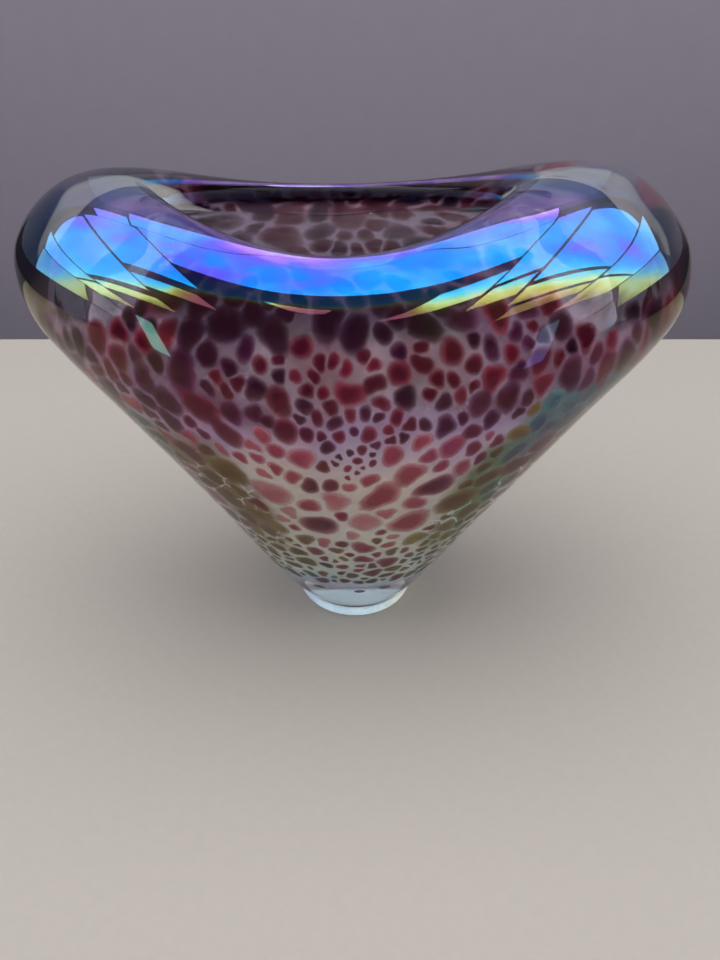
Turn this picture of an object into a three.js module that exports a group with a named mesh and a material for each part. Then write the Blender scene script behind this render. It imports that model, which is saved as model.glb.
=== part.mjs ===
// Hand-blown art-glass vase: a flattened heart-shaped body with two raised lobes, a sagging
// pointed mouth between them and a small ground foot.  Units are millimetres, +Z is up, +X runs
// through the two lobes, and the origin is the centre of the resting face of the foot.
//
// The glass is built up as it is gathered: a clear lining round the hollow, a milky veil over it,
// frit chips lying on the veil, and a thick clear casing that rolls over the lip and down inside
// the mouth as far as a ledge, where the lining and the veil end.
import * as THREE from 'three';

// ---------------------------------------------------------------- driving dimensions
const SEGMENTS = 40;          // facets round every shell
const GAP = 0.35;             // clearance between shells that touch in the glass
const CHIP_GAP = 0.6;         // clearance round the chips, which lie on curved glass
const LINING_THICKNESS = 2.2;
const VEIL_THICKNESS = 0.8;
const CHIP_THICKNESS = 0.9;
const SADDLE_REACH = 64.4;    // half-width over which the rim sags between the lobes
const BACK_RISE = 0.24;       // the back of the rim sags this share less than the front
const TILT = 0.009;           // the +X lobe stands this much higher than the -X lobe
const LOBE_HALF_WIDTH = 80;
const LOBE_HEIGHT = 126;
const FOOT_HEIGHT = 3.7;

// Depths measured outwards from the wall of the hollow.
const LINING_OUT = LINING_THICKNESS;
const VEIL_IN = LINING_OUT + GAP;
const VEIL_OUT = VEIL_IN + VEIL_THICKNESS;
const CHIP_IN = VEIL_OUT + CHIP_GAP;
const CHIP_OUT = CHIP_IN + CHIP_THICKNESS;
const CASING_IN = CHIP_OUT + CHIP_GAP;

// Each row is one ring of a skin: half-width, half-depth, height, sag at the middle,
// sideways shift, and pointedness of the ends (1 is an ellipse).
const OUTER_SKIN = [
  [18.2, 18.2, 4.0, 0, 0, 1],
  [20.6, 20.6, 8.5, 0.1, -0.1, 1],
  [24.6, 23.5, 14.0, 0.2, -0.3, 1],
  [32.6, 28.0, 27.0, 0.8, -0.3, 1],
  [41.5, 33.0, 42.0, 1.8, 0, 1],
  [52.0, 37.5, 58.0, 3.5, 0.3, 1],
  [63.8, 40.5, 74.0, 5.5, 0.3, 1],
  [74.4, 42.0, 88.0, 8.5, 0.5, 1],
  [79.4, 41.5, 98.0, 10.8, 0.2, 1],
  [78.7, 38.8, 109.0, 12.6, -0.9, 1],
  [72.9, 34.8, 117.6, 14.2, -1.7, 1],
  [64.1, 29.8, 123.9, 15.3, -2.1, 1],
  [53.5, 25.2, 126.6, 14.6, -2.3, 1.15],
  [45.5, 21.8, 127.0, 13.4, -3.2, 1.45],
];
const HOLLOW_WALL = [
  [40.0, 19.0, 125.3, 13.4, -4.5, 1.75],
  [39.5, 18.8, 121.0, 12.5, -4.2, 1.6],
  [49.0, 22.0, 115.5, 11.5, -2.5, 1.25],
  [60.0, 28.0, 108.0, 10.0, -1.5, 1],
  [65.5, 32.3, 98.0, 8.5, -0.5, 1],
  [63.5, 34.2, 86.0, 6.5, 0.2, 1],
  [54.0, 33.0, 73.0, 4.5, 0.3, 1],
  [42.8, 29.8, 59.0, 3.0, 0.3, 1],
  [33.8, 26.2, 45.0, 1.5, 0, 1],
  [25.5, 21.5, 32.5, 0.6, -0.2, 1],
  [17.5, 15.5, 23.0, 0.2, -0.3, 1],
  [9.0, 8.2, 18.0, 0, -0.3, 1],
  [2.5, 2.3, 16.6, 0, -0.3, 1],
];
const LEDGE_ROW = 1.4;        // place on HOLLOW_WALL where the casing hands over to the lining

// ---------------------------------------------------------------- materials
const glass = (colour, roughness = 0.08) => new THREE.MeshStandardMaterial({
  color: colour,
  roughness,
  metalness: 0,
});
const CHIP_COLOURS = {
  cranberry: 0x6e1a2c,
  plum: 0x3c0a2e,
  rose: 0x9c4a58,
  amber: 0x6f5320,
  teal: 0x1d5a58,
};

// ---------------------------------------------------------------- surfaces
// Reads a skin between its rows with a uniform Catmull-Rom spline.
function ringAt(rows, place) {
  const last = rows.length - 1;
  const index = Math.min(Math.floor(place), last - 1);
  const t = place - index;
  const p1 = rows[index];
  const p2 = rows[index + 1];
  const p0 = rows[index - 1] ?? p1.map((value, k) => 2 * value - p2[k]);
  const p3 = rows[index + 2] ?? p2.map((value, k) => 2 * value - p1[k]);
  return p1.map((value, k) => 0.5 * (
    2 * value
    + (p2[k] - p0[k]) * t
    + (2 * p0[k] - 5 * value + 4 * p2[k] - p3[k]) * t * t
    + (3 * value - p0[k] - 3 * p2[k] + p3[k]) * t * t * t
  ));
}

// The point of a skin at a place along its rows and an angle round the vase.
function skinPoint(rows, place, angle) {
  const [halfWidth, halfDepth, height, sag, shift, pointedness] = ringAt(rows, place);
  const side = Math.sin(angle);
  const x = halfWidth * Math.cos(angle);
  const y = halfDepth * Math.sign(side) * Math.abs(side) ** pointedness;
  const behind = Math.max(0, side) ** 2;
  const saddle = Math.max(0, 1 - (x / SADDLE_REACH) ** 2) ** 2 * (1 - BACK_RISE * behind);
  const lean = 1 + TILT * (x / LOBE_HALF_WIDTH) * (height / LOBE_HEIGHT);
  return new THREE.Vector3(x + shift, y, (height - sag * saddle) * lean);
}

// Tangents along the rows and round the vase, per unit of place and angle.
function tangents(rows, place, angle) {
  const step = 0.01;
  const low = Math.max(place - step, 0);
  const high = Math.min(place + step, rows.length - 1);
  const along = skinPoint(rows, high, angle).sub(skinPoint(rows, low, angle));
  const round = skinPoint(rows, place, angle + step).sub(skinPoint(rows, place, angle - step));
  return [along.divideScalar(high - low), round.divideScalar(2 * step)];
}

// A point at a depth outside the wall of the hollow.
function wallPoint(place, angle, depth) {
  const [along, round] = tangents(HOLLOW_WALL, place, angle);
  const outwards = round.cross(along).normalize().negate();
  return skinPoint(HOLLOW_WALL, place, angle).addScaledVector(outwards, depth);
}

const skinRing = (rows, place) => Array.from(
  { length: SEGMENTS },
  (_, k) => skinPoint(rows, place, (2 * Math.PI * k) / SEGMENTS),
);
const wallRing = (place, depth) => Array.from(
  { length: SEGMENTS },
  (_, k) => wallPoint(place, (2 * Math.PI * k) / SEGMENTS, depth),
);

// Evenly spaced places from one row to another, both ends included.
const places = (from, to, count) => Array.from(
  { length: count + 1 },
  (_, k) => from + ((to - from) * k) / count,
);

const middle = (points) => points
  .reduce((sum, point) => sum.add(point), new THREE.Vector3())
  .divideScalar(points.length);

// One closed body through a list of rings, capped at both ends by a fan to the ring's middle.
function closedBody(rings) {
  const count = rings[0].length;
  const points = rings.flat();
  const faces = [];
  for (let ring = 0; ring < rings.length - 1; ring += 1) {
    for (let k = 0; k < count; k += 1) {
      const a = ring * count + k;
      const b = ring * count + ((k + 1) % count);
      faces.push(a, b, b + count, a, b + count, a + count);
    }
  }
  const first = points.push(middle(rings[0])) - 1;
  const last = points.push(middle(rings[rings.length - 1])) - 1;
  const lastRing = (rings.length - 1) * count;
  for (let k = 0; k < count; k += 1) {
    const next = (k + 1) % count;
    faces.push(first, next, k);
    faces.push(last, lastRing + k, lastRing + next);
  }
  const geometry = new THREE.BufferGeometry().setFromPoints(points);
  geometry.setIndex(faces);
  geometry.computeVertexNormals();
  return geometry;
}

// A mesh whose geometry is kept about its own middle and placed by its position.
function placedMesh(name, geometry, material) {
  geometry.computeBoundingBox();
  const centre = geometry.boundingBox.getCenter(new THREE.Vector3());
  geometry.translate(-centre.x, -centre.y, -centre.z);
  const mesh = new THREE.Mesh(geometry, material);
  mesh.name = name;
  mesh.position.copy(centre);
  return mesh;
}

// ---------------------------------------------------------------- the shells
// Rings lie close together where the shoulder turns and further apart on the straight flanks.
const FLANK_END = HOLLOW_WALL.length - 1;
const SHOULDER_END = 6;
const wallPlaces = (top) => [
  ...places(top, SHOULDER_END, 9),
  ...places(SHOULDER_END + 1, FLANK_END, FLANK_END - SHOULDER_END - 1),
];

// Outer gather: up the outside, over the lip, down inside the mouth to the ledge, then back
// down behind the chips to the bottom.
function makeCasing() {
  const flank = places(0, 4, 4);
  const shoulder = places(4.5, OUTER_SKIN.length - 1, 17);
  const outside = [...flank, ...shoulder].map((place) => skinRing(OUTER_SKIN, place));
  const throat = places(0, LEDGE_ROW, 3).map((place) => skinRing(HOLLOW_WALL, place));
  const inside = wallPlaces(LEDGE_ROW).map((place) => wallRing(place, CASING_IN));
  return placedMesh('clear_casing', closedBody([...outside, ...throat, ...inside]), glass(0xc9ccd6));
}

// A cup between two depths behind the wall of the hollow, open at the mouth.
function makeCup(name, innerDepth, outerDepth, material) {
  const top = LEDGE_ROW + 0.08;
  const outside = wallPlaces(top).reverse().map((place) => wallRing(place, outerDepth));
  const inside = wallPlaces(top).map((place) => wallRing(place, innerDepth));
  return placedMesh(name, closedBody([...outside, ...inside]), material);
}

// The ground and polished foot, a short clear disc that the casing stands on.
function makeFoot() {
  const outline = [
    [0, 0], [16.8, 0], [17.5, 0.4], [17.8, 1.2], [17.9, 2.4], [18.1, FOOT_HEIGHT], [0, FOOT_HEIGHT],
  ].map(([radius, height]) => new THREE.Vector2(radius, height));
  const geometry = new THREE.LatheGeometry(outline, SEGMENTS).rotateX(Math.PI / 2);
  return placedMesh('polished_foot', geometry, glass(0xd5dde4, 0.03));
}

// ---------------------------------------------------------------- frit chips
// Every band of chips: its place on the wall, how many lie round the vase, the length and width
// of one chip, and the colours that take turns in it.
const CHIP_BANDS = [
  { place: 3.4, count: 10, length: 12, width: 9, colours: ['cranberry', 'plum'] },
  { place: 4.9, count: 11, length: 12, width: 9, colours: ['plum', 'cranberry', 'plum'] },
  { place: 6.6, count: 10, length: 11, width: 7.5, colours: ['rose', 'plum', 'rose', 'cranberry'] },
  { place: 8.0, count: 9, length: 9, width: 6.5, colours: ['amber', 'rose', 'teal'] },
  { place: 9.3, count: 7, length: 6.5, width: 5, colours: ['cranberry', 'amber'] },
];
const CHIP_SIDES = 8;
const CHIP_LEAN = 0.45;       // chips are drawn out upwards and towards the lobes, radians

// A pillow-shaped chip lying on the veil: each ring runs round the chip at one fraction of its
// size and one depth.
function chipGeometry(place, angle, length, width) {
  const [along, round] = tangents(HOLLOW_WALL, place, angle);
  const lean = CHIP_LEAN * Math.cos(angle) * Math.sign(Math.sin(angle) || 1);
  const ring = (fraction, depth) => Array.from({ length: CHIP_SIDES }, (_, k) => {
    const turn = (2 * Math.PI * k) / CHIP_SIDES;
    const lengthwise = fraction * (length / 2) * Math.cos(turn);
    const sideways = fraction * (width / 2) * Math.sin(turn);
    const up = lengthwise * Math.cos(lean) - sideways * Math.sin(lean);
    const across = lengthwise * Math.sin(lean) + sideways * Math.cos(lean);
    return wallPoint(place + up / along.length(), angle + across / round.length(), depth);
  });
  const edge = CHIP_THICKNESS * 0.3;
  return closedBody([
    ring(0.55, CHIP_IN),
    ring(1, CHIP_IN + edge),
    ring(1, CHIP_OUT - edge),
    ring(0.55, CHIP_OUT),
  ]);
}

function makeChips() {
  const chips = [];
  const made = {};
  CHIP_BANDS.forEach((band, bandIndex) => {
    for (let k = 0; k < band.count; k += 1) {
      const colour = band.colours[k % band.colours.length];
      const angle = (2 * Math.PI * (k + 0.5 * (bandIndex % 2) + 0.25)) / band.count;
      made[colour] = (made[colour] ?? 0) + 1;
      const name = `frit_${colour}_${String(made[colour]).padStart(2, '0')}`;
      const geometry = chipGeometry(band.place, angle, band.length, band.width);
      chips.push(placedMesh(name, geometry, glass(CHIP_COLOURS[colour])));
    }
  });
  return chips;
}

// Dark teal chips left in the clear glass low on the front, one of them nearly round.
const BASE_CHIPS = [
  { place: 10.55, angle: -2.15, radius: 1.5 },
  { place: 10.6, angle: -1.05, radius: 1.5 },
  { place: 11.1, angle: -1.45, radius: 1.3 },
  { place: 11.0, angle: 1.2, radius: 1.4 },
  { place: 10.6, angle: 2.3, radius: 1.2 },
];

function makeBaseChip({ place, angle, radius }, index) {
  const [along, round] = tangents(HOLLOW_WALL, place, angle);
  const outwards = round.clone().cross(along).normalize();
  const geometry = new THREE.SphereGeometry(radius, 12, 8);
  geometry.scale(1, CHIP_THICKNESS / (2 * radius), 1);
  const mesh = new THREE.Mesh(geometry, glass(0x0d3b41));
  mesh.name = `base_chip_teal_${index + 1}`;
  mesh.position.copy(wallPoint(place, angle, (CHIP_IN + CHIP_OUT) / 2));
  mesh.quaternion.setFromUnitVectors(new THREE.Vector3(0, 1, 0), outwards);
  return mesh;
}

// ---------------------------------------------------------------- the vase
const vase = new THREE.Group();
vase.add(makeCasing());
vase.add(makeCup('inner_lining', 0, LINING_OUT, glass(0xb9bcc6)));
vase.add(makeCup('opal_veil', VEIL_IN, VEIL_OUT, glass(0xcfc4bc, 0.4)));
vase.add(makeFoot());

const frit = new THREE.Group();
makeChips().forEach((chip) => frit.add(chip));
BASE_CHIPS.map(makeBaseChip).forEach((chip) => frit.add(chip));
vase.add(frit);

export default vase;
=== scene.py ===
"""Hand-blown art-glass vase: the looks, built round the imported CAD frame.

One clear glass body carries the iridised outside, the lip, the wall of the hollow and the polished
foot.  Inside its wall lie a milky veil and many hundred frit chips, as they do in cased glass.
"""
import math

import bpy
import numpy as np
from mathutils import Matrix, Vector


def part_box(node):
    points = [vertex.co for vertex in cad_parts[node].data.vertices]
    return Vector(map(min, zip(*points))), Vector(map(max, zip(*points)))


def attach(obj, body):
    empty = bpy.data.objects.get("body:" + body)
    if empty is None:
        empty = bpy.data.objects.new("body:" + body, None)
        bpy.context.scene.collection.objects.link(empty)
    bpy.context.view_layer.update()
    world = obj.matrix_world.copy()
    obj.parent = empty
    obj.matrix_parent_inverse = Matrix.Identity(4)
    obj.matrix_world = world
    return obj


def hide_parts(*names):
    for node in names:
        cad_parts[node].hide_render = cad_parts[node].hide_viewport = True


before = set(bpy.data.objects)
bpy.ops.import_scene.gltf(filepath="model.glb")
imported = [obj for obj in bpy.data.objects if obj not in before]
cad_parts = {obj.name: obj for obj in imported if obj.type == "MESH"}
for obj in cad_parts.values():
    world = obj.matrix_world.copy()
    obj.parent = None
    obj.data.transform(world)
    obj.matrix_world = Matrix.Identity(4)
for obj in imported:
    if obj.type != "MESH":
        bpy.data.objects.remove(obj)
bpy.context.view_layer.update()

MM = 0.001
rng = np.random.default_rng(317)

# ---------------------------------------------------------------- driving dimensions, millimetres
VEIL_IN, VEIL_OUT = 2.55, 3.35   # depths of the milky veil behind the wall of the hollow
CHIP_IN, CHIP_OUT = 3.45, 4.25   # and of the chips
SADDLE_REACH = 64.4      # half-width over which the rim sags between the lobes
BACK_RISE = 0.24         # the back of the rim sags this share less than the front
TILT = 0.009             # share by which the +X lobe stands higher and the -X lobe lower
LOBE_HALF_WIDTH = 80.0
LOBE_HEIGHT = 126.0

# Rings of the glass, from the rim of the foot up the outside, over the lip and down the wall of
# the hollow: half-width, half-depth, height, sag at the middle, sideways shift, pointedness.
FOOT = [
    (16.8, 16.8, 0.0, 0, 0, 1),
    (17.5, 17.5, 0.4, 0, 0, 1),
    (17.8, 17.8, 1.2, 0, 0, 1),
    (17.9, 17.9, 2.4, 0, 0, 1),
]
OUTER_SKIN = [
    (18.2, 18.2, 4.0, 0, 0, 1),
    (20.6, 20.6, 8.5, 0.1, -0.1, 1),
    (24.6, 23.5, 14.0, 0.2, -0.3, 1),
    (32.6, 28.0, 27.0, 0.8, -0.3, 1),
    (41.5, 33.0, 42.0, 1.8, 0, 1),
    (52.0, 37.5, 58.0, 3.5, 0.3, 1),
    (63.8, 40.5, 74.0, 5.5, 0.3, 1),
    (74.4, 42.0, 88.0, 8.5, 0.5, 1),
    (79.4, 41.5, 98.0, 10.8, 0.2, 1),
    (78.7, 38.8, 109.0, 12.6, -0.9, 1),
    (72.9, 34.8, 117.6, 14.2, -1.7, 1),
    (64.1, 29.8, 123.9, 15.3, -2.1, 1),
    (53.5, 25.2, 126.6, 14.6, -2.3, 1.15),
    (45.5, 21.8, 127.0, 13.4, -3.2, 1.45),
]
HOLLOW_WALL = [
    (40.0, 19.0, 125.3, 13.4, -4.5, 1.75),
    (39.5, 18.8, 121.0, 12.5, -4.2, 1.6),
    (49.0, 22.0, 115.5, 11.5, -2.5, 1.25),
    (60.0, 28.0, 108.0, 10.0, -1.5, 1),
    (65.5, 32.3, 98.0, 8.5, -0.5, 1),
    (63.5, 34.2, 86.0, 6.5, 0.2, 1),
    (54.0, 33.0, 73.0, 4.5, 0.3, 1),
    (42.8, 29.8, 59.0, 3.0, 0.3, 1),
    (33.8, 26.2, 45.0, 1.5, 0, 1),
    (25.5, 21.5, 32.5, 0.6, -0.2, 1),
    (17.5, 15.5, 23.0, 0.2, -0.3, 1),
    (9.0, 8.2, 18.0, 0, -0.3, 1),
    (2.5, 2.3, 16.6, 0, -0.3, 1),
]
ENDS_DRIFT = 2.0         # the coloured layers lie this much deeper in the thick glass of the ends
DRIFT_HEIGHTS = (20, 45, 80, 92)  # the drift starts, is full, starts to end and ends here
LEDGE_PLACE = 0.7        # place on HOLLOW_WALL where the veil and the chips end under the lip
CEILING_MIDDLE = 114.0   # colour rises this high in the middle of the front and back
CEILING_LOBES = 99.0     # and this high in the lobes, whose tops are clear
CEILING_ACROSS = (36, 54)  # the ceiling falls between these distances from the middle
WALL_END = len(HOLLOW_WALL) - 1


# ---------------------------------------------------------------- surfaces
def rise(value, start, end):
    """0 at the start, 1 at the end, and straight between them."""
    return np.clip((value - start) / (end - start), 0, 1)


def ring_rows(rows, place):
    """The rows of a skin, read between them with a uniform Catmull-Rom spline."""
    rows = np.asarray(rows, float)
    padded = np.vstack([2 * rows[0] - rows[1], rows, 2 * rows[-1] - rows[-2]])
    index = np.clip(np.floor(place).astype(int), 0, len(rows) - 2)
    t = (place - index)[..., None]
    before, first, second, after = (padded[index + k] for k in range(4))
    return 0.5 * (
        2 * first
        + (second - before) * t
        + (2 * before - 5 * first + 4 * second - after) * t ** 2
        + (3 * first - before - 3 * second + after) * t ** 3
    )


def skin(rows, place, angle):
    """Points of a skin in millimetres, for arrays of places along its rows and angles round it."""
    place, angle = np.broadcast_arrays(np.asarray(place, float), np.asarray(angle, float))
    half_width, half_depth, height, sag, shift, point = np.moveaxis(ring_rows(rows, place), -1, 0)
    side = np.sin(angle)
    x = half_width * np.cos(angle)
    y = half_depth * np.sign(side) * np.abs(side) ** point
    behind = np.clip(side, 0, None) ** 2
    saddle = np.clip(1 - (x / SADDLE_REACH) ** 2, 0, None) ** 2 * (1 - BACK_RISE * behind)
    lean = 1 + TILT * (x / LOBE_HALF_WIDTH) * (height / LOBE_HEIGHT)
    return np.stack([x + shift, y, (height - sag * saddle) * lean], -1)


def tangents(place, angle):
    """Tangents of the hollow's wall along its rows and round it, per unit of place and angle."""
    step = 0.01
    low = np.clip(place - step, 0, None)
    high = np.clip(place + step, None, WALL_END)
    along = (skin(HOLLOW_WALL, high, angle) - skin(HOLLOW_WALL, low, angle)) / (high - low)[..., None]
    ahead = skin(HOLLOW_WALL, place, angle + step)
    behind = skin(HOLLOW_WALL, place, angle - step)
    return along, (ahead - behind) / (2 * step)


def wall(place, angle, depth):
    """Points at a depth, in millimetres, outside the wall of the hollow."""
    place, angle, depth = np.broadcast_arrays(*(np.asarray(v, float) for v in (place, angle, depth)))
    along, around = tangents(place, angle)
    outwards = np.cross(along, around)
    outwards /= np.linalg.norm(outwards, axis=-1, keepdims=True)
    points = skin(HOLLOW_WALL, place, angle)
    ends = rise(np.abs(np.cos(angle)), 0.5, 1)
    drift = ENDS_DRIFT * ends * np.interp(points[..., 2], DRIFT_HEIGHTS, (0, 1, 1, 0))
    return points + outwards * (depth + drift)[..., None]


# ---------------------------------------------------------------- meshes
def tube_faces(rings, count):
    """Quads between rings of points that each run once round."""
    ring, k = np.meshgrid(np.arange(rings - 1), np.arange(count), indexing="ij")
    a = ring * count + k
    b = ring * count + (k + 1) % count
    return np.stack([a, b, b + count, a + count], -1).reshape(-1, 4)


def new_object(name, points, faces, materials, smooth=True):
    """A mesh object from points in millimetres."""
    mesh = bpy.data.meshes.new(name)
    mesh.from_pydata((np.asarray(points) * MM).tolist(), [], [list(map(int, f)) for f in faces])
    for material in materials:
        mesh.materials.append(material)
    mesh.polygons.foreach_set("use_smooth", [smooth] * len(mesh.polygons))
    mesh.update()
    piece = bpy.data.objects.new(name, mesh)
    bpy.context.scene.collection.objects.link(piece)
    return piece


def put_attribute(piece, name, values):
    """One number for every vertex of a piece, read by its material."""
    layer = piece.data.attributes.new(name, "FLOAT", "POINT")
    layer.data.foreach_set("value", values)


def capped_tube(rings):
    """Points and faces of a closed body through rings of equal counts, fanned shut at both ends."""
    count = len(rings[0])
    points = np.vstack([*rings, rings[0].mean(0), rings[-1].mean(0)])
    faces = [tuple(f) for f in tube_faces(len(rings), count)]
    first, last = len(points) - 2, len(points) - 1
    start = (len(rings) - 1) * count
    for k in range(count):
        after = (k + 1) % count
        faces.append((first, after, k))
        faces.append((last, start + k, start + after))
    return points, faces


# ---------------------------------------------------------------- material helpers
class Nodes:
    """A short way to write a node material."""

    def __init__(self, name):
        self.material = bpy.data.materials.new(name)
        self.material.use_nodes = True
        self.tree = self.material.node_tree
        self.tree.nodes.clear()
        self.output = self.add("ShaderNodeOutputMaterial")

    def add(self, kind, values=None, **settings):
        """A node with its settings, and with numbers or links put into its inputs."""
        node = self.tree.nodes.new(kind)
        for key, value in settings.items():
            setattr(node, key, value)
        for key, value in (values or {}).items():
            self.put(node.inputs[key], value)
        return node

    def put(self, socket, value):
        if isinstance(value, bpy.types.NodeSocket):
            self.tree.links.new(value, socket)
        else:
            socket.default_value = value

    def math(self, operation, a, b=0.0, clamp=False):
        node = self.add("ShaderNodeMath", {0: a, 1: b}, operation=operation, use_clamp=clamp)
        return node.outputs[0]

    def noise(self, scale, detail=2.0, roughness=0.5, vector=None):
        node = self.add("ShaderNodeTexNoise", {"Scale": scale, "Detail": detail, "Roughness": roughness})
        self.put(node.inputs["Vector"], vector or self.position())
        return node.outputs["Fac"]

    def position(self):
        if not hasattr(self, "coordinates"):
            self.coordinates = self.add("ShaderNodeTexCoord").outputs["Object"]
        return self.coordinates

    def ramp(self, factor, stops):
        """A colour read from a list of places and colours."""
        node = self.add("ShaderNodeValToRGB", {"Fac": factor})
        elements = node.color_ramp.elements
        while len(elements) < len(stops):
            elements.new(0.5)
        for element, (place, colour) in zip(elements, stops):
            element.position = place
            element.color = (*colour, 1)
        return node.outputs["Color"]

    def remap(self, value, low, high, to_low=0.0, to_high=1.0):
        """A value carried from one range to another, and kept inside it."""
        node = self.add("ShaderNodeMapRange", {0: value, 1: low, 2: high, 3: to_low, 4: to_high})
        return node.outputs[0]

    def mix_colour(self, factor, a, b):
        node = self.add("ShaderNodeMix", data_type="RGBA")
        self.put(node.inputs[0], factor)
        self.put(node.inputs[6], a if isinstance(a, bpy.types.NodeSocket) else (*a, 1))
        self.put(node.inputs[7], b if isinstance(b, bpy.types.NodeSocket) else (*b, 1))
        return node.outputs[2]

    def mix_shader(self, factor, a, b):
        node = self.add("ShaderNodeMixShader")
        self.put(node.inputs[0], factor)
        self.tree.links.new(a, node.inputs[1])
        self.tree.links.new(b, node.inputs[2])
        return node.outputs[0]

    def finish(self, shader):
        self.tree.links.new(shader, self.output.inputs["Surface"])
        return self.material


def linear(red, green, blue):
    """A colour given as sRGB 0-255, in linear light."""
    def channel(value):
        value /= 255
        return value / 12.92 if value <= 0.04045 else ((value + 0.055) / 1.055) ** 2.4
    return tuple(channel(value) for value in (red, green, blue))


# ---------------------------------------------------------------- materials
GLASS_IOR = 1.5
POLISH = 0.012           # roughness of the fire-polished surface
CLEAR = (0.80, 0.84, 0.87)           # what the clear glass lets through
# painted shade: the glass at the back of the lip is painted near black, and its reflection there is
# painted dark
LIP_PAINTED_SHADE = (0.004, 0.003, 0.014)     # what the darkest does
LIP_PAINTED_REFLECTION = (0.04, 0.04, 0.08)       # and what it mirrors
SHADOW_CLEAR = (0.93, 0.94, 0.95, 1)  # what glass lets through in a shadow
# Thickness of the iridescent film in nanometres, against the row of OUTER_SKIN it lies on, from the
# foot up: a rosy haze on the body, a yellow-green edge, blue over the shoulder, violet at the lip.
FILM_ROWS = (0, 4, 7, 9, 10.0, 10.35, 10.5, 10.62, 10.8, 11.6, 12.4, 13)
FILM = (236, 246, 250, 234, 214, 204, 190, 179, 171, 166, 158, 149)
FILM_EDGE_LOSS = 44.0    # the film looks thinner where it is seen edge on, nanometres
FILM_OF_BODY = (205.0, 232.0)    # film this thick is the body's and not the shoulder's
FILM_WANDER = 62.0       # how far its thickness wanders over the vase
FILM_STREAKS = 24.0      # and from streak to streak
FILM_FLOW = (16.0, 42.0, 42.0)   # the streaks are drawn out along X
FILM_COLOURS = [         # thickness and what the film mirrors there
    (130, (24, 14, 80)),
    (144, (205, 185, 255)),
    (151, (170, 110, 255)),
    (157, (96, 84, 255)),
    (163, (8, 128, 255)),
    (171, (0, 160, 255)),
    (180, (60, 196, 255)),
    (189, (120, 226, 226)),
    (199, (200, 240, 170)),
    (208, (196, 212, 104)),
    (222, (206, 176, 110)),
    (238, (222, 130, 150)),
    (252, (176, 96, 196)),
    (270, (120, 120, 220)),
]
# Rings round the foot, millimetres: where each starts, is last full and ends. The first is a glow of
# painted light, and the second a dark band of painted shade above it.
PAINTED_GLOW_RING = (0.0, 5.2, 6.0)
PAINTED_SHADE_RING = (5.0, 7.4, 9.0)


def foot_ring(n, low, high, end):
    """1 between the first two heights and 0 above the third, with an uneven edge."""
    axes = n.add("ShaderNodeSeparateXYZ", {0: n.position()}).outputs
    wobble = n.math("MULTIPLY", n.math("SUBTRACT", n.noise(120.0, 3.0), 0.5), 2.0 * MM)
    place = n.math("ADD", axes["Z"], wobble)
    ring = n.remap(place, end * MM, high * MM)
    if low:
        ring = n.math("MULTIPLY", ring, n.remap(place, (low - 0.8) * MM, low * MM))
    return ring


def painted_foot_glow(n):
    """Painted light: a glow painted into the foot, with emission though it is no lamp: lavender at the
    left, bluish white in front, cream at the right.
    """
    axes = n.add("ShaderNodeSeparateXYZ", {0: n.position()}).outputs
    colour = n.ramp(n.remap(axes["X"], -0.018, 0.018), [
        (0.0, linear(176, 172, 214)),
        (0.25, linear(206, 232, 246)),
        (0.7, linear(222, 244, 248)),
        (1.0, linear(236, 236, 196)),
    ])
    cloud = n.remap(n.noise(260.0, 4.0, 0.65), 0.35, 0.65, 0.7, 1.0)
    colour = n.mix_colour(cloud, (0.12, 0.2, 0.32), colour)
    return n.add("ShaderNodeBsdfPrincipled", {
        "Base Color": colour,
        "Roughness": 0.2,
        "Emission Color": colour,
        "Emission Strength": 0.3,
    }).outputs[0]


def lustre_film(n):
    """The iridescent film: what it mirrors, and how much of the surface it takes."""
    nominal = n.add("ShaderNodeAttribute", attribute_name="film").outputs["Fac"]
    cover = n.add("ShaderNodeAttribute", attribute_name="cover").outputs["Fac"]
    flow = n.add("ShaderNodeMapping", {"Vector": n.position(), "Scale": FILM_FLOW}).outputs[0]
    wander = n.math("SUBTRACT", n.noise(1.0, 3.0, 0.6, flow), 0.5)
    streaks = n.math("SUBTRACT", n.noise(4.5, 3.0, 0.6, flow), 0.5)
    facing = n.add("ShaderNodeLayerWeight", {"Blend": 0.5}).outputs["Facing"]
    glancing = n.math("MULTIPLY", n.remap(facing, 0.4, 1.0), n.remap(nominal, *FILM_OF_BODY))
    thickness = n.math("ADD", nominal, n.math("MULTIPLY", wander, FILM_WANDER))
    thickness = n.math("ADD", thickness, n.math("MULTIPLY", streaks, FILM_STREAKS))
    thickness = n.math("SUBTRACT", thickness, n.math("MULTIPLY", glancing, FILM_EDGE_LOSS))
    first, last = FILM_COLOURS[0][0], FILM_COLOURS[-1][0]
    stops = [((at - first) / (last - first), linear(*colour)) for at, colour in FILM_COLOURS]
    mirrored = n.ramp(n.remap(thickness, first, last), stops)
    share = n.math("MULTIPLY", cover, n.math("ADD", 1.0, n.math("MULTIPLY", glancing, 0.6)))
    return mirrored, share


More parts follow.
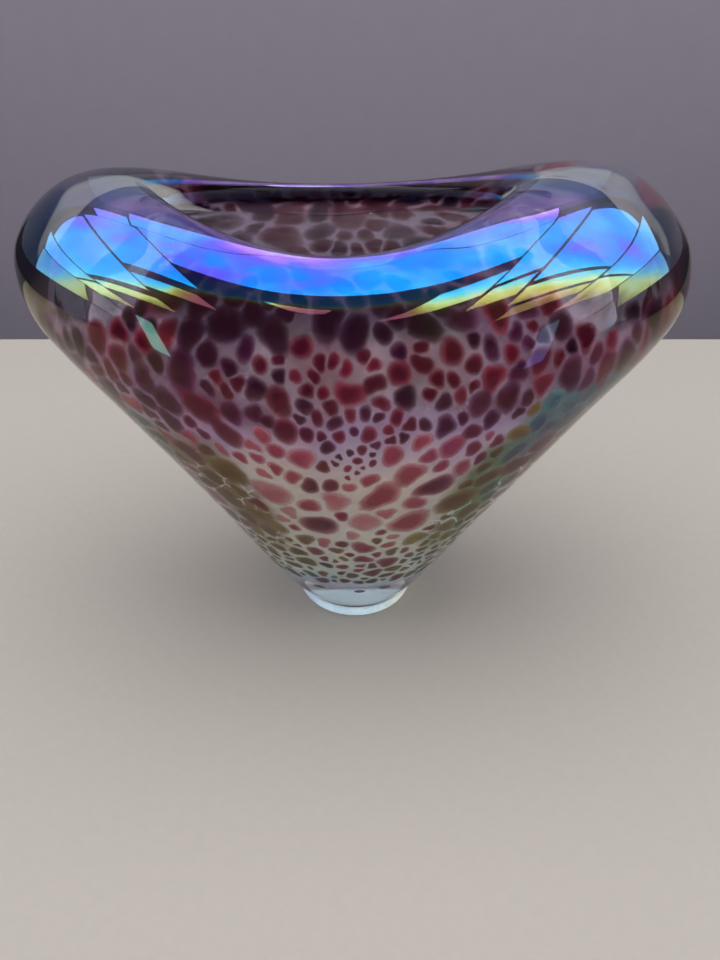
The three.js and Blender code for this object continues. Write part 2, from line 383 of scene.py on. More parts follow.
def clear_glass(name, film):
    """Clear fire-polished glass.  Where it is iridised, a film of uneven thickness lies on it."""
    n = Nodes(name)
    tint = n.add("ShaderNodeAttribute", attribute_name="tint").outputs["Fac"]
    # painted shade: the tint attribute darkens the glass to near black at the back of the lip, and
    # darkens it in the lobes' flanks
    body = n.mix_colour(tint, CLEAR, LIP_PAINTED_SHADE)
    mirrored = (1, 1, 1)
    if film:
        mirrored, share = lustre_film(n)
        # painted shade: a dark blue-grey band painted into the glass round the foot, above the painted
        # glow
        painted_shade_band = n.math("MULTIPLY", foot_ring(n, *PAINTED_SHADE_RING), 0.85)
        body = n.mix_colour(painted_shade_band, body, linear(84, 96, 128))
    surface = n.add("ShaderNodeBsdfPrincipled", {
        "Base Color": body,
        "Roughness": POLISH,
        "IOR": GLASS_IOR,
        "Transmission Weight": 1.0,
        # painted shade: the reflection at the back of the lip is painted dark
        "Specular Tint": n.mix_colour(tint, mirrored, LIP_PAINTED_REFLECTION),
    }).outputs[0]
    if film:
        lustre = n.add("ShaderNodeBsdfPrincipled", {
            "Base Color": mirrored,
            "Roughness": POLISH,
            "Metallic": 1.0,
        }).outputs[0]
        surface = n.mix_shader(share, surface, lustre)
        # painted light: a glowing ring painted round the foot
        painted_glow_ring = n.math("MULTIPLY", foot_ring(n, *PAINTED_GLOW_RING), 0.8)
        surface = n.mix_shader(painted_glow_ring, surface, painted_foot_glow(n))
    shadow = n.add("ShaderNodeLightPath").outputs["Is Shadow Ray"]
    clear = n.add("ShaderNodeBsdfTransparent", {"Color": SHADOW_CLEAR}).outputs[0]
    return n.finish(n.mix_shader(shadow, surface, clear))


# Half-width, against the height, of the rosy middle of the front; amber and teal flanks lie
# beyond it.  Millimetres.
MIDDLE_HEIGHTS = (20, 48, 67, 82, 96)
MIDDLE_WIDTHS = (16, 23, 31, 44, 68)
CROWN = (98.5, -38, 22)  # the dark crown under the front of the lip: lowest height, left, right


def crown_mask(n, axes):
    """1 inside the dark crown at the front, 0 elsewhere."""
    lowest, left, right = (value * MM for value in CROWN)
    mask = n.math("MULTIPLY", n.remap(axes["Z"], lowest, lowest + 0.002), n.remap(axes["Y"], 0.0, -0.01))
    mask = n.math("MULTIPLY", mask, n.remap(axes["X"], left - 0.006, left + 0.002))
    return n.math("MULTIPLY", mask, n.remap(axes["X"], right + 0.004, right - 0.004))


def side_share(n, axes):
    """How far out a point lies, as a share of the half-width of the middle at its height."""
    low, high, widest = MIDDLE_HEIGHTS[0], MIDDLE_HEIGHTS[-1], max(MIDDLE_WIDTHS)
    stops = [((height - low) / (high - low), (width / widest,) * 3)
             for height, width in zip(MIDDLE_HEIGHTS, MIDDLE_WIDTHS)]
    width = n.ramp(n.remap(axes["Z"], low * MM, high * MM), stops)
    width = n.math("MULTIPLY", width, widest * MM)
    wobble = n.math("MULTIPLY", n.math("SUBTRACT", n.noise(70.0, 2.0), 0.5), 0.5)
    return n.math("ADD", n.math("DIVIDE", n.math("ABSOLUTE", axes["X"]), width), wobble)


def veil_bands(n, height, front, wander):
    """The milk's own colour: cream, then lavender, with smoky plum drifting in high on the front."""
    place = n.math("ADD", height, n.math("MULTIPLY", n.math("SUBTRACT", wander, 0.5), 0.03))
    colour = n.ramp(n.remap(place, 0.015, 0.1), [
        (0.0, linear(196, 204, 220)),
        (0.1, linear(226, 242, 230)),
        (0.35, linear(236, 238, 220)),
        (0.62, linear(238, 230, 218)),
        (0.75, linear(206, 190, 214)),
        (1.0, linear(206, 182, 194)),
    ])
    patches = n.remap(n.noise(62.0, 3.0, 0.6), 0.46, 0.6)
    smoke = n.math("MULTIPLY", n.remap(height, 0.079, 0.084), patches)
    smoke = n.math("MULTIPLY", n.math("MULTIPLY", smoke, front), 0.8)
    return n.mix_colour(smoke, colour, linear(96, 26, 72))


def veil_flanks(n, axes, side, front, wander, colour):
    """Olive bands that turn teal towards +X on both sides of the middle, and plum beyond them."""
    height = axes["Z"]
    flank = n.math("MULTIPLY", n.remap(side, 0.75, 0.9), n.remap(side, 1.35, 1.2))
    top = n.math("ADD", height, n.remap(axes["X"], 0.01, -0.01, 0.0, 0.014))
    span = n.math("MULTIPLY", n.remap(height, 0.032, 0.044), n.remap(top, 0.094, 0.086))
    flank = n.math("MULTIPLY", flank, span)
    flank = n.math("MULTIPLY", n.math("MULTIPLY", flank, front), 0.95)
    drift = n.math("MULTIPLY", n.math("SUBTRACT", wander, 0.5), 0.03)
    olive = n.ramp(n.remap(n.math("ADD", axes["X"], drift), -0.05, 0.05), [
        (0.1, linear(128, 104, 72)),
        (0.45, linear(130, 120, 46)),
        (0.7, linear(112, 134, 60)),
        (0.84, linear(84, 136, 104)),
        (0.95, linear(70, 116, 132)),
    ])
    colour = n.mix_colour(flank, colour, olive)
    outer = n.math("MULTIPLY", n.remap(side, 1.15, 1.4), n.remap(height, 0.045, 0.065))
    return n.mix_colour(n.math("MULTIPLY", outer, 0.85), colour, linear(86, 46, 66))


def veil_web(n, height, side, colour):
    """Fine white lines in the milk, low on the vase and out on its flanks."""
    web = n.add(
        "ShaderNodeTexVoronoi", {"Scale": 210.0, "Vector": n.position()}, feature="DISTANCE_TO_EDGE",
    )
    lines = n.remap(web.outputs["Distance"], 0.07, 0.02)
    lines = n.math("MULTIPLY", lines, n.remap(n.noise(90.0, 2.0), 0.45, 0.6))
    region = n.math("MAXIMUM", n.remap(side, 0.55, 0.8), n.remap(height, 0.050, 0.036))
    region = n.math("MULTIPLY", region, n.remap(height, 0.078, 0.060))
    lines = n.math("MULTIPLY", n.math("MULTIPLY", lines, region), 0.95)
    return n.mix_colour(lines, colour, linear(248, 255, 252))


def veil_stains(n, axes, colour):
    """Colour bled out of the chips, strongest high up, and the dark crown."""
    stain = n.add("ShaderNodeAttribute", attribute_name="stain").outputs
    spread = n.math("MULTIPLY", stain["Alpha"], n.remap(n.noise(150.0, 3.0), 0.3, 0.7, 0.3, 0.8))
    spread = n.math("MULTIPLY", spread, n.remap(axes["Z"], 0.076, 0.090, 0.2, 1.0))
    colour = n.mix_colour(spread, colour, stain["Color"])
    return n.mix_colour(n.math("MULTIPLY", crown_mask(n, axes), 0.95), colour, linear(34, 4, 18))


def veil_density(n, axes):
    """How much the milk hides: less high up and at the back, nothing in the tops of the lobes."""
    height = axes["Z"]
    density = n.remap(n.noise(120.0, 4.0, 0.6), 0.3, 0.7, 0.62, 0.95)
    density = n.math("MULTIPLY", density, n.remap(height, 0.080, 0.090, 1.0, 0.42))
    behind = n.math("MULTIPLY", n.remap(axes["Y"], 0.0, 0.01), n.remap(height, 0.082, 0.092))
    kept = n.math("SUBTRACT", 1.0, n.math("MULTIPLY", behind, 0.55))
    density = n.math("MULTIPLY", density, kept)
    start, end = (across * MM for across in CEILING_ACROSS)
    ceiling = n.math("ABSOLUTE", axes["X"])
    ceiling = n.remap(ceiling, start, end, CEILING_MIDDLE * MM, CEILING_LOBES * MM)
    room = n.math("DIVIDE", n.math("SUBTRACT", ceiling, height), 0.005, clamp=True)
    density = n.math("MULTIPLY", density, room)
    return n.math("MULTIPLY", density, n.remap(height, 0.0155, 0.0185))


def veil_material():
    """Milky glass, lit from both sides: bands, flanks, white lines and stains, and its density."""
    n = Nodes("opal_veil")
    axes = n.add("ShaderNodeSeparateXYZ", {0: n.position()}).outputs
    wander = n.noise(45.0, 3.0)
    front = n.remap(axes["Y"], 0.0, -0.01)
    side = side_share(n, axes)
    colour = veil_bands(n, axes["Z"], front, wander)
    colour = veil_flanks(n, axes, side, front, wander, colour)
    colour = veil_web(n, axes["Z"], side, colour)
    colour = veil_stains(n, axes, colour)
    lit = n.add("ShaderNodeBsdfDiffuse", {"Color": colour, "Roughness": 0.4}).outputs[0]
    through = n.add("ShaderNodeBsdfTranslucent", {"Color": colour}).outputs[0]
    milk = n.mix_shader(0.45, lit, through)
    clear = n.add("ShaderNodeBsdfTransparent", {"Color": (0.96, 0.95, 0.97, 1)}).outputs[0]
    return n.finish(n.mix_shader(veil_density(n, axes), clear, milk))


CHIP_LOOKS = {           # rim colour, body colour, dark colour
    "cranberry": (linear(184, 104, 116), linear(132, 28, 52), linear(66, 0, 20)),
    "plum": (linear(142, 96, 132), linear(86, 16, 62), linear(34, 0, 20)),
    "rose": (linear(214, 176, 170), linear(190, 108, 114), linear(148, 58, 72)),
    "amber": (linear(174, 168, 96), linear(126, 106, 30), linear(84, 60, 6)),
    "teal": (linear(130, 178, 166), linear(58, 126, 124), linear(14, 72, 88)),
}


def chip_material(colour):
    """Transparent coloured glass: deeper in the middle of a chip, fading out at its melted rim."""
    rim, body, dark = CHIP_LOOKS[colour]
    n = Nodes(f"frit_{colour}")
    axes = n.add("ShaderNodeSeparateXYZ", {0: n.position()}).outputs
    depth = n.add("ShaderNodeAttribute", attribute_name="depth").outputs["Fac"]
    tone = n.add("ShaderNodeAttribute", attribute_name="tone").outputs["Fac"]
    cloud = n.math("SUBTRACT", n.noise(150.0, 3.0, 0.6), 0.5)
    fill = n.math("ADD", depth, n.math("MULTIPLY", cloud, 0.35), clamp=True)
    shade = n.math("MULTIPLY", fill, n.remap(tone, 0.0, DEEPEST, 0.4, 1.5), clamp=True)
    shade = n.math("ADD", shade, n.math("MULTIPLY", cloud, 0.7), clamp=True)
    tint = n.ramp(shade, [(0.0, rim), (0.5, body), (1.0, dark)])
    tint = n.mix_colour(n.math("MULTIPLY", crown_mask(n, axes), 0.85), tint, linear(20, 0, 10))
    outward = n.add("ShaderNodeCombineXYZ", {
        0: n.math("MULTIPLY", axes["X"], 9.0), 1: n.math("MULTIPLY", axes["Y"], 30.0), 2: 0.5,
    }).outputs[0]
    outward = n.add("ShaderNodeVectorMath", {0: outward}, operation="NORMALIZE").outputs[0]
    lit = n.add("ShaderNodeBsdfDiffuse", {"Color": tint, "Normal": outward}).outputs[0]
    through = n.add("ShaderNodeBsdfTranslucent", {"Color": tint, "Normal": outward}).outputs[0]
    glow = n.mix_shader(0.5, lit, through)
    clear = n.add("ShaderNodeBsdfTransparent", {"Color": (0.98, 0.97, 0.98, 1)}).outputs[0]
    surface = n.mix_shader(n.remap(fill, 0.0, 0.95, 0.0, 0.78), clear, glow)
    shadow = n.add("ShaderNodeLightPath").outputs["Is Shadow Ray"]
    faint = n.add("ShaderNodeBsdfTransparent", {"Color": n.mix_colour(0.25, (1, 1, 1), tint)}).outputs[0]
    return n.finish(n.mix_shader(shadow, surface, faint))


def ground_glass_painted_glow():
    """The ground underside of the foot, with painted light: a painted glow, bluish white, at its front,
    and painted shade, dark blue-grey, behind.
    """
    n = Nodes("ground_foot_painted_glow")
    axes = n.add("ShaderNodeSeparateXYZ", {0: n.position()}).outputs
    cloud = n.math("SUBTRACT", n.noise(160.0, 4.0, 0.6), 0.5)
    place = n.math("ADD", axes["Y"], n.math("MULTIPLY", cloud, 0.006))
    # painted light and shade: bright at the front, dark behind
    painted_front_light = n.remap(place, 0.004, -0.002)
    colour = n.mix_colour(painted_front_light, linear(40, 50, 70), linear(226, 240, 255))
    glow = n.mix_colour(n.remap(cloud, -0.2, 0.2), linear(120, 150, 190), linear(214, 236, 244))
    body = n.add("ShaderNodeBsdfPrincipled", {
        "Base Color": colour,
        "Roughness": 0.5,
        # painted glow: emission at the bright front, though it is no lamp
        "Emission Color": glow,
        "Emission Strength": n.math("MULTIPLY", painted_front_light, 0.45),
    })
    return n.finish(body.outputs[0])


def base_chip_material():
    """Dark teal glass with a wet shine, seen through the clear base."""
    n = Nodes("base_chip_teal")
    colour = n.ramp(n.noise(700.0, 3.0), [
        (0.3, linear(6, 30, 40)),
        (0.6, linear(14, 64, 74)),
        (0.8, linear(60, 120, 118)),
    ])
    body = n.add("ShaderNodeBsdfPrincipled", {
        "Base Color": colour,
        "Roughness": 0.12,
        "Specular IOR Level": 0.9,
    })
    return n.finish(body.outputs[0])


# ---------------------------------------------------------------- the clear glass body
AROUND = 192
MATERIAL_INSIDE, MATERIAL_GROUND_GLOW = 1, 2
# Rows here are places on OUTER_SKIN, carried on over the lip.
CREST_ROW = 13.15        # the crest of the lip
LOBE_LIFT = 2.2          # the film lies this many rows lower at the ends of the lobes
LOBE_EXTRA = 34          # and is this much thicker there, nanometres
CROWN_FILM = 240         # film over the dark crown, below the blue, nanometres
BACK_COVER = 0.8         # how much the crest mirrors along the back of the lip
# painted shade: the flanks of the lobes are painted darker
FLANK_PAINTED_SHADE = 0.62       # how dark the glass is in the flanks of the lobes


def lip_crest(row):
    """1 along the crest of the lip, which stays clear, and 0 beside it."""
    return rise(np.abs(row - CREST_ROW), 0.2, 0)


def film_row(row, lobe):
    """The row that the film is read at: it starts lower on the lobes."""
    return row + LOBE_LIFT * lobe ** 2


def wing_share(angle):
    """1 over the lobes, where the blue film ends in yellow-green streaks; 0 over the dark crown."""
    across = np.cos(angle)
    return np.maximum(rise(across, 0.16, 0.24), rise(-across, 0.42, 0.5))


def film_thickness(row, angle):
    """Film thickness at a row and at angles round the vase."""
    lobe = np.abs(np.cos(angle))
    place = film_row(row, lobe)
    film = np.interp(place, FILM_ROWS, FILM) + LOBE_EXTRA * rise(lobe, 0.8, 1)
    middle = (1 - wing_share(angle)) * rise(place, 10.6, 10.52)
    return film + (CROWN_FILM - film) * middle


def film_cover(row, angle):
    """How much the film mirrors: most over the shoulder, and little down the body."""
    lobe = np.abs(np.cos(angle))
    place = film_row(row, lobe)
    high = rise(place, 10.5, 10.62)
    wings = 0.7 * rise(place + 0.6 * lobe, 10.4, 10.48) * rise(wing_share(angle), 0.5, 1)
    ends = rise(lobe, 0.8, 0.95)
    front = 0.04 + 0.22 * np.maximum(high, wings) * (1 - 0.6 * ends)
    back = rise(np.sin(angle), -0.12, 0.28) * rise(row, 9.5, 10.5)
    return front * (1 - back) + BACK_COVER * back * lip_crest(row)


def lip_and_flank_painted_shade(row, angle):
    """Painted shade: how dark the glass is painted, near black in the back of the lip and darker in the
    lobes' flanks.
    """
    back = rise(np.sin(angle), 0.3, 1.9 / 3) * (1 - lip_crest(row))
    back = back * rise(row, 11, 11.8) * rise(row, 14.9, 14.5)
    flank = rise(np.abs(np.cos(angle)), 0.7, 0.95)
    flank = flank * rise(row, 3.5, 5.5) * rise(row, 10.8, 10.0)
    return np.maximum(back, FLANK_PAINTED_SHADE * flank)


def make_glass_body():
    """The clear body: foot, outside, lip and hollow in one skin, with the film's attributes and the
    painted shade.
    """
    rows = [*FOOT, *OUTER_SKIN, *HOLLOW_WALL]
    lip = len(FOOT) + len(OUTER_SKIN)
    angle = np.linspace(0, 2 * math.pi, AROUND, endpoint=False)
    places = np.concatenate([
        np.linspace(0, len(FOOT), 14, endpoint=False),
        np.linspace(len(FOOT), lip + 2, 110, endpoint=False),
        np.linspace(lip + 2, len(rows) - 1, 70),
    ])
    rings = [skin(rows, place, angle) for place in places]
    for ring in rings:
        ring[:, 2] = np.clip(ring[:, 2], 0, None)
    points, faces = capped_tube(rings)
    piece = new_object(
        "glass_body", points, faces,
        [
            clear_glass("iridised_glass", film=True),
            clear_glass("hollow_glass", film=False),
            ground_glass_painted_glow(),
        ],
    )
    first_inside = int(np.searchsorted(places, lip + 1))
    slots = np.zeros(len(faces), int)
    slots[first_inside * AROUND:(len(rings) - 1) * AROUND] = MATERIAL_INSIDE
    # Last come the two end fans, face by face in turn: first the foot's, which takes the ground glass
    # with its painted glow and shade, then the hollow's.
    slots[(len(rings) - 1) * AROUND::2] = MATERIAL_GROUND_GLOW
    piece.data.polygons.foreach_set("material_index", slots)
    # the tint attribute carries the painted shade of the lip and of the lobes' flanks
    for name, read in (("film", film_thickness), ("cover", film_cover), ("tint", lip_and_flank_painted_shade)):
        values = [read(place - len(FOOT), angle) for place in places]
        put_attribute(piece, name, np.concatenate([*values, values[0][:1], values[-1][:1]]))
    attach(piece, "root")
    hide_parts("clear_casing", "inner_lining", "polished_foot")


# ---------------------------------------------------------------- the milky veil
BLEED_SHARE = 0.6        # a chip's colour bleeds over this share of its size
BLEED_REACH = 1.0        # and this much further, millimetres


def stain_veil(piece, points, places, sizes, colours):
    """Colour bled out of the chips into the milk round them, and how much, at each vertex."""
    bodies = np.array([CHIP_LOOKS[colour][1] for colour in colours])
    stain = np.zeros((len(points), 4))
    for k, point in enumerate(points):
        gap = np.sum((places - point) ** 2, axis=1) / (BLEED_SHARE * sizes + BLEED_REACH) ** 2
        weight = np.exp(-gap)
        total = weight.sum()
        stain[k, :3] = weight @ bodies / max(total, 1e-6)
        stain[k, 3] = min(total, 1)
    layer = piece.data.attributes.new("stain", "FLOAT_COLOR", "POINT")
    layer.data.foreach_set("color", stain.ravel())


def make_veil(chips):
    """The thin milky cup behind the lining, stained by the chips that lie on it."""
    angle = np.linspace(0, 2 * math.pi, AROUND, endpoint=False)
    down = np.linspace(LEDGE_PLACE, WALL_END, 90)
    rings = [wall(place, angle, VEIL_OUT) for place in down[::-1]]
    rings += [wall(place, angle, VEIL_IN) for place in down]
    points, faces = capped_tube(rings)
    piece = new_object("milk_veil", points, faces, [veil_material()])
    stain_veil(piece, points, *chips)
    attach(piece, "root")
    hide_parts("opal_veil")


# ---------------------------------------------------------------- frit chips
CHIP_DEPTH = (CHIP_IN + CHIP_OUT) / 2
FLOOR_OF_CHIPS = 21.5
CEILING_ROOM = 2         # chips keep this far below the ceiling
# Spacing of the chips against their height, millimetres, and how much it varies from chip to chip.
SPACING_HEIGHTS = (16, 24, 36, 46, 52, 62, 70, 78, 92, 98, 106)
SPACING = (3.2, 3.6, 4.2, 4.8, 6.4, 6.6, 6.0, 4.8, 4.6, 4.8, 5.4)
SPACING_SPREAD = (0.5, 1.55)
BACK_HEIGHT = 86         # above this the chips of the back are bigger
BACK_SPACING = 1.5
CLUSTER = (68, 88, 13)   # a cluster of small dark chips at the front: lowest, highest, half-width
CLUSTER_SPACING = (1.7, 2.9)
CLUSTER_SPREAD = (0.8, 1.3)
MILKY_GAP = (0.02, 0.42)  # half the milky line left round a chip
EXTRA_GAP_HEIGHTS = (30, 50, 74, 84)
EXTRA_GAP = (0.3, 0.25, 0.25, 0)  # and what is added to it at these heights
LARGEST_REACH = 0.78     # a chip alone reaches this share of its spacing
LEAST_REACH = 0.2
DRAWN_OUT = 0.45         # chips at the ends are drawn out upwards by up to this share
ROUNDED = 0.7            # how much of a chip's outline is smoothed
OVAL = (-0.22, 0.22)     # how oval a chip is, and how three-cornered
CORNERED = (0, 0.12)
DIRECTIONS = 16          # points round a chip


def in_cluster(points):
    """Whether points lie in the front cluster, which narrows downwards to a tip."""
    x, y, z = np.moveaxis(np.asarray(points), -1, 0)
    low, high, half_width = CLUSTER
    room = half_width * np.clip((z - low + 2) / (high - low), 0, 1)
    return (y < 0) & (z > low) & (z < high) & (np.abs(x) < room)


def in_crown(point):
    """Whether a chip lies in the dark crown under the front of the lip."""
    x, y, z = point
    lowest, left, right = CROWN
    return y < 0 and z > lowest and left < x < right


def scatter_chips(tries=60000):
    """Places, angles and sizes of chips: random, but no two closer than their size allows."""
    place = rng.uniform(LEDGE_PLACE + 0.1, WALL_END - 0.3, tries)
    angle = rng.uniform(0, 2 * math.pi, tries)
    along, around = tangents(place, angle)
    area = np.linalg.norm(np.cross(along, around), axis=1)
    keep = rng.uniform(0, area.max(), tries) < area
    place, angle = place[keep], angle[keep]
    points = wall(place, angle, CHIP_DEPTH)
    ceiling = np.interp(np.abs(points[:, 0]), CEILING_ACROSS, (CEILING_MIDDLE, CEILING_LOBES))
    low = (points[:, 2] < ceiling - CEILING_ROOM) & (points[:, 2] > FLOOR_OF_CHIPS)
    place, angle, points = place[low], angle[low], points[low]
    size = np.interp(points[:, 2], SPACING_HEIGHTS, SPACING)
    size *= rng.uniform(*SPACING_SPREAD, len(place))
    size *= np.where((points[:, 1] > 0) & (points[:, 2] > BACK_HEIGHT), BACK_SPACING, 1)
    clustered = in_cluster(points)
    small = np.interp(points[clustered, 2], CLUSTER[:2], CLUSTER_SPACING)
    size[clustered] = small * rng.uniform(*CLUSTER_SPREAD, clustered.sum())
    chosen = []
    taken = np.zeros_like(points)
    sizes = np.zeros(len(points))
    for k, point in enumerate(points):
        count = len(chosen)
        gap = np.sum((taken[:count] - point) ** 2, axis=1)
        if np.all(4 * gap > (sizes[:count] + size[k]) ** 2):
            taken[count] = point
            sizes[count] = size[k]
            chosen.append(k)
    count = len(chosen)
    return place[chosen], angle[chosen], taken[:count], sizes[:count]


def swelling(turn, times, amounts, count):
    """For each chip a random share by which its reach swells and shrinks so many times round."""
    amount = rng.uniform(*amounts, (count, 1))
    phase = rng.uniform(0, 7, (count, 1))
    return amount * np.cos(times * (turn - phase))


def cell_outlines(place, angle, points, sizes):
    """How far each chip reaches in every direction before it meets its neighbours' chips.

    The borders between chips are those of a power diagram: each is pushed towards the smaller chip.
    """
    along, around = tangents(place, angle)
    up = along / np.linalg.norm(along, axis=1, keepdims=True)
    across = around - up * np.sum(around * up, axis=1, keepdims=True)
    across /= np.linalg.norm(across, axis=1, keepdims=True)
    turn = np.linspace(0, 2 * math.pi, DIRECTIONS, endpoint=False)
    heading = np.stack([np.cos(turn), np.sin(turn)])
    stretch = 1 + DRAWN_OUT * np.abs(np.cos(angle)) ** 2
    squash = 1 + swelling(turn, 2, OVAL, len(place))
    squash += swelling(turn, 3, CORNERED, len(place))
    reach = np.zeros((len(place), DIRECTIONS))
    for k in range(len(place)):
        offset = points - points[k]
        distance = np.linalg.norm(offset, axis=1)
        # Chips further off than this can't touch it.
        near = (distance > 0) & (distance < 2.6 * sizes[k] + 6)
        flat = np.stack([offset[near] @ up[k] / stretch[k], offset[near] @ across[k]], 1)
        toward = flat @ heading
        square = np.sum(flat ** 2, axis=1, keepdims=True)
        weight = 0.25 * (sizes[k] ** 2 - sizes[near][:, None] ** 2)
        limit = np.where(toward > 1e-6, (square + weight) / (2 * np.maximum(toward, 1e-6)), np.inf)
        reach[k] = np.minimum(limit.min(0), LARGEST_REACH * sizes[k])
    gap = rng.uniform(*MILKY_GAP, (len(place), 1))
    gap += np.interp(points[:, 2], EXTRA_GAP_HEIGHTS, EXTRA_GAP)[:, None]
    gap[[in_crown(point) for point in points]] = 0
    reach = np.maximum(reach - gap, 0.25)
    # Only the slow changes round a chip make its smooth outline.
    smooth = np.fft.rfft(reach, axis=1)
    smooth[:, 4:] = 0
    smooth = np.fft.irfft(smooth, DIRECTIONS, axis=1)
    rounded = np.minimum(reach * 1.06, smooth)
    reach = ((1 - ROUNDED) * reach + ROUNDED * rounded) * squash
    reach = np.clip(reach, LEAST_REACH, None)
    upward = reach * heading[0] * stretch[:, None] / np.linalg.norm(along, axis=1, keepdims=True)
    sideways = reach * heading[1] / np.linalg.norm(around, axis=1, keepdims=True)
    return upward, sideways


# Rings of one pillow-shaped chip, from its inner face over its rim to its outer face: share of its
# reach and share of half its thickness.
PILLOW = ((0.4, -0.95), (0.78, -0.65), (1.0, 0.0), (0.78, 0.65), (0.4, 0.95))
DEEPEST = 1.6            # the deepest tone of a chip


# Shares of the colours from the lip down: the height that each band lies above, and its colours.
COLOUR_BANDS = (
    (97, {"cranberry": 0.4, "plum": 0.6}),
    (91, {"cranberry": 0.35, "plum": 0.65}),
    (80, {"cranberry": 0.5, "plum": 0.5}),
    (50, {"cranberry": 0.15, "rose": 0.85}),
    (40, {"cranberry": 0.3, "rose": 0.3, "amber": 0.4}),
    (0, {"cranberry": 0.6, "plum": 0.05, "amber": 0.3, "teal": 0.05}),
)


def colour_shares(point):
    """The share of each colour among the chips near a point."""
    x, y, z = point
    side = abs(x) / np.interp(z, MIDDLE_HEIGHTS, MIDDLE_WIDTHS)
    if 0.8 < side < 1.25 and 36 < z < (74 if x < 0 else 86):
        blue = min(max((x - 26) / 20, 0), 1)
        return {"cranberry": 0.06, "plum": 0.04, "amber": 1 - blue, "teal": blue}
    if side >= 0.8 and 36 < z < 90:
        return {"cranberry": 0.3, "plum": 0.4, "rose": 0.25, "teal": 0.05}
    if in_crown(point):
        return {"plum": 1.0}
    if z > 97 and y > 0:
        return {"cranberry": 0.45, "plum": 0.55}
    if 91 < z <= 97 and -26 < x < 34:
        return {"cranberry": 0.95, "plum": 0.05}
    if z <= 80 and in_cluster(point):
        return {"cranberry": 0.45, "plum": 0.55}
    return next(shares for lowest, shares in COLOUR_BANDS if z > lowest)


def chip_colour(point, draw):
    """The colour of a chip, drawn from the shares near it."""
    shares = colour_shares(point)
    edges = np.cumsum([shares.get(colour, 0.0) for colour in CHIP_LOOKS])
    return list(CHIP_LOOKS)[int(np.searchsorted(edges, draw * edges[-1]))]


def tone_at(point, draw):
    """How deep a chip's colour is: deepest in the crown, high on the body and out on the flanks."""
    if in_crown(point):
        return DEEPEST
    side = abs(point[0]) / np.interp(point[2], MIDDLE_HEIGHTS, MIDDLE_WIDTHS)
    least = float(np.interp(point[2], (66, 80), (0.0, 0.6)))
    if point[1] > 0 and point[2] > BACK_HEIGHT:
        least = 1.2
    if side > 1.1 and point[2] > 45:
        least = 1.1
    return least + (DEEPEST - least) * draw * (0.6 if least == 0 else 1.0)


def pillow_depths():
    """Depth of colour at each vertex of a chip: none at its rim, full over most of its middle."""
    depths = []
    for share, _ in PILLOW:
        depths += [min(1, 1.5 * (1 - share ** 2))] * DIRECTIONS
    return [*depths, 1.0, 1.0]


def make_chips():
    """All the chips.  Returns where they lie, their sizes and their colours."""
    place, angle, points, sizes = scatter_chips()
    upward, sideways = cell_outlines(place, angle, points, sizes)
    draws = rng.uniform(size=(len(place), 3))
    colours = [chip_colour(points[k], draws[k, 0]) for k in range(len(place))]
    for colour in CHIP_LOOKS:
        members = [k for k, name in enumerate(colours) if name == colour]
        vertices, faces, tone = [], [], []
        for k in members:
            half = 0.5 * (CHIP_OUT - CHIP_IN) * (0.6 + 0.4 * draws[k, 1])
            rings = [
                wall(place[k] + upward[k] * share, angle[k] + sideways[k] * share,
                     CHIP_DEPTH + half * level)
                for share, level in PILLOW
            ]
            chip_points, chip_faces = capped_tube(rings)
            faces += [tuple(i + len(vertices) for i in face) for face in chip_faces]
            vertices.extend(chip_points)
            tone += [tone_at(points[k], draws[k, 2])] * len(chip_points)
        depth = pillow_depths() * len(members)
        piece = new_object(f"chips_{colour}", vertices, faces, [chip_material(colour)])
        put_attribute(piece, "depth", depth)
        put_attribute(piece, "tone", tone)
        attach(piece, "root")
        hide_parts(*[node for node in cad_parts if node.startswith(f"frit_{colour}_")])
    print("chips:", len(place))
    return points, sizes, colours


# ---------------------------------------------------------------- dark chips in the base
DROP_SIDES = 20
DROP_RINGS = 9
DROP_WOBBLE = 0.1        # how uneven a drop's outline is


def drop_rings(centre, half):
    """Rings of a flattened drop that fills a box, from its lowest to its highest."""
    turn = np.linspace(0, 2 * math.pi, DROP_SIDES, endpoint=False)
    wobble = 1 + DROP_WOBBLE * np.sin(3 * turn + centre[0])
    rings = []
    for climb in np.radians(np.linspace(-80, 80, DROP_RINGS)):
        share = math.cos(climb) * wobble
        rings.append(centre + np.stack([
            half[0] * share * np.cos(turn),
            half[1] * share * np.sin(turn),
            np.full(DROP_SIDES, half[2] * math.sin(climb)),
        ], 1))
    return rings


def make_base_chips():
    """One flattened drop on each CAD base chip."""
    vertices, faces = [], []
    nodes = [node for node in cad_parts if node.startswith("base_chip_teal_")]
    for node in nodes:
        low, high = (np.array(corner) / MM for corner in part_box(node))
        chip_points, chip_faces = capped_tube(drop_rings((low + high) / 2, (high - low) / 2))
        faces += [tuple(i + len(vertices) for i in face) for face in chip_faces]
        vertices.extend(chip_points)
    piece = new_object("base_chips", vertices, faces, [base_chip_material()])
    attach(piece, "root")
    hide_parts(*nodes)


# ---------------------------------------------------------------- studio
# The studio is in metres, as Blender is.
CAMERA_HEIGHT = 0.1664
CAMERA_DISTANCE = 0.170
CAMERA_PITCH = 36.8      # degrees down
CAMERA_LENS = 27.04      # millimetres, on a 36 mm frame
CAMERA_SHIFT = 0.0052
FLOOR_SIZE = 1.6         # from the middle to the sides and the front
FLOOR_END = 0.175        # and to the back
FLOOR_DROP = 0.0001      # the floor lies this far under the foot
WALL_DISTANCE = 0.55
FLAG_DISTANCE = 0.5      # dark flags at both sides draw the outline of the clear glass
FLAG_HEIGHT = 0.12


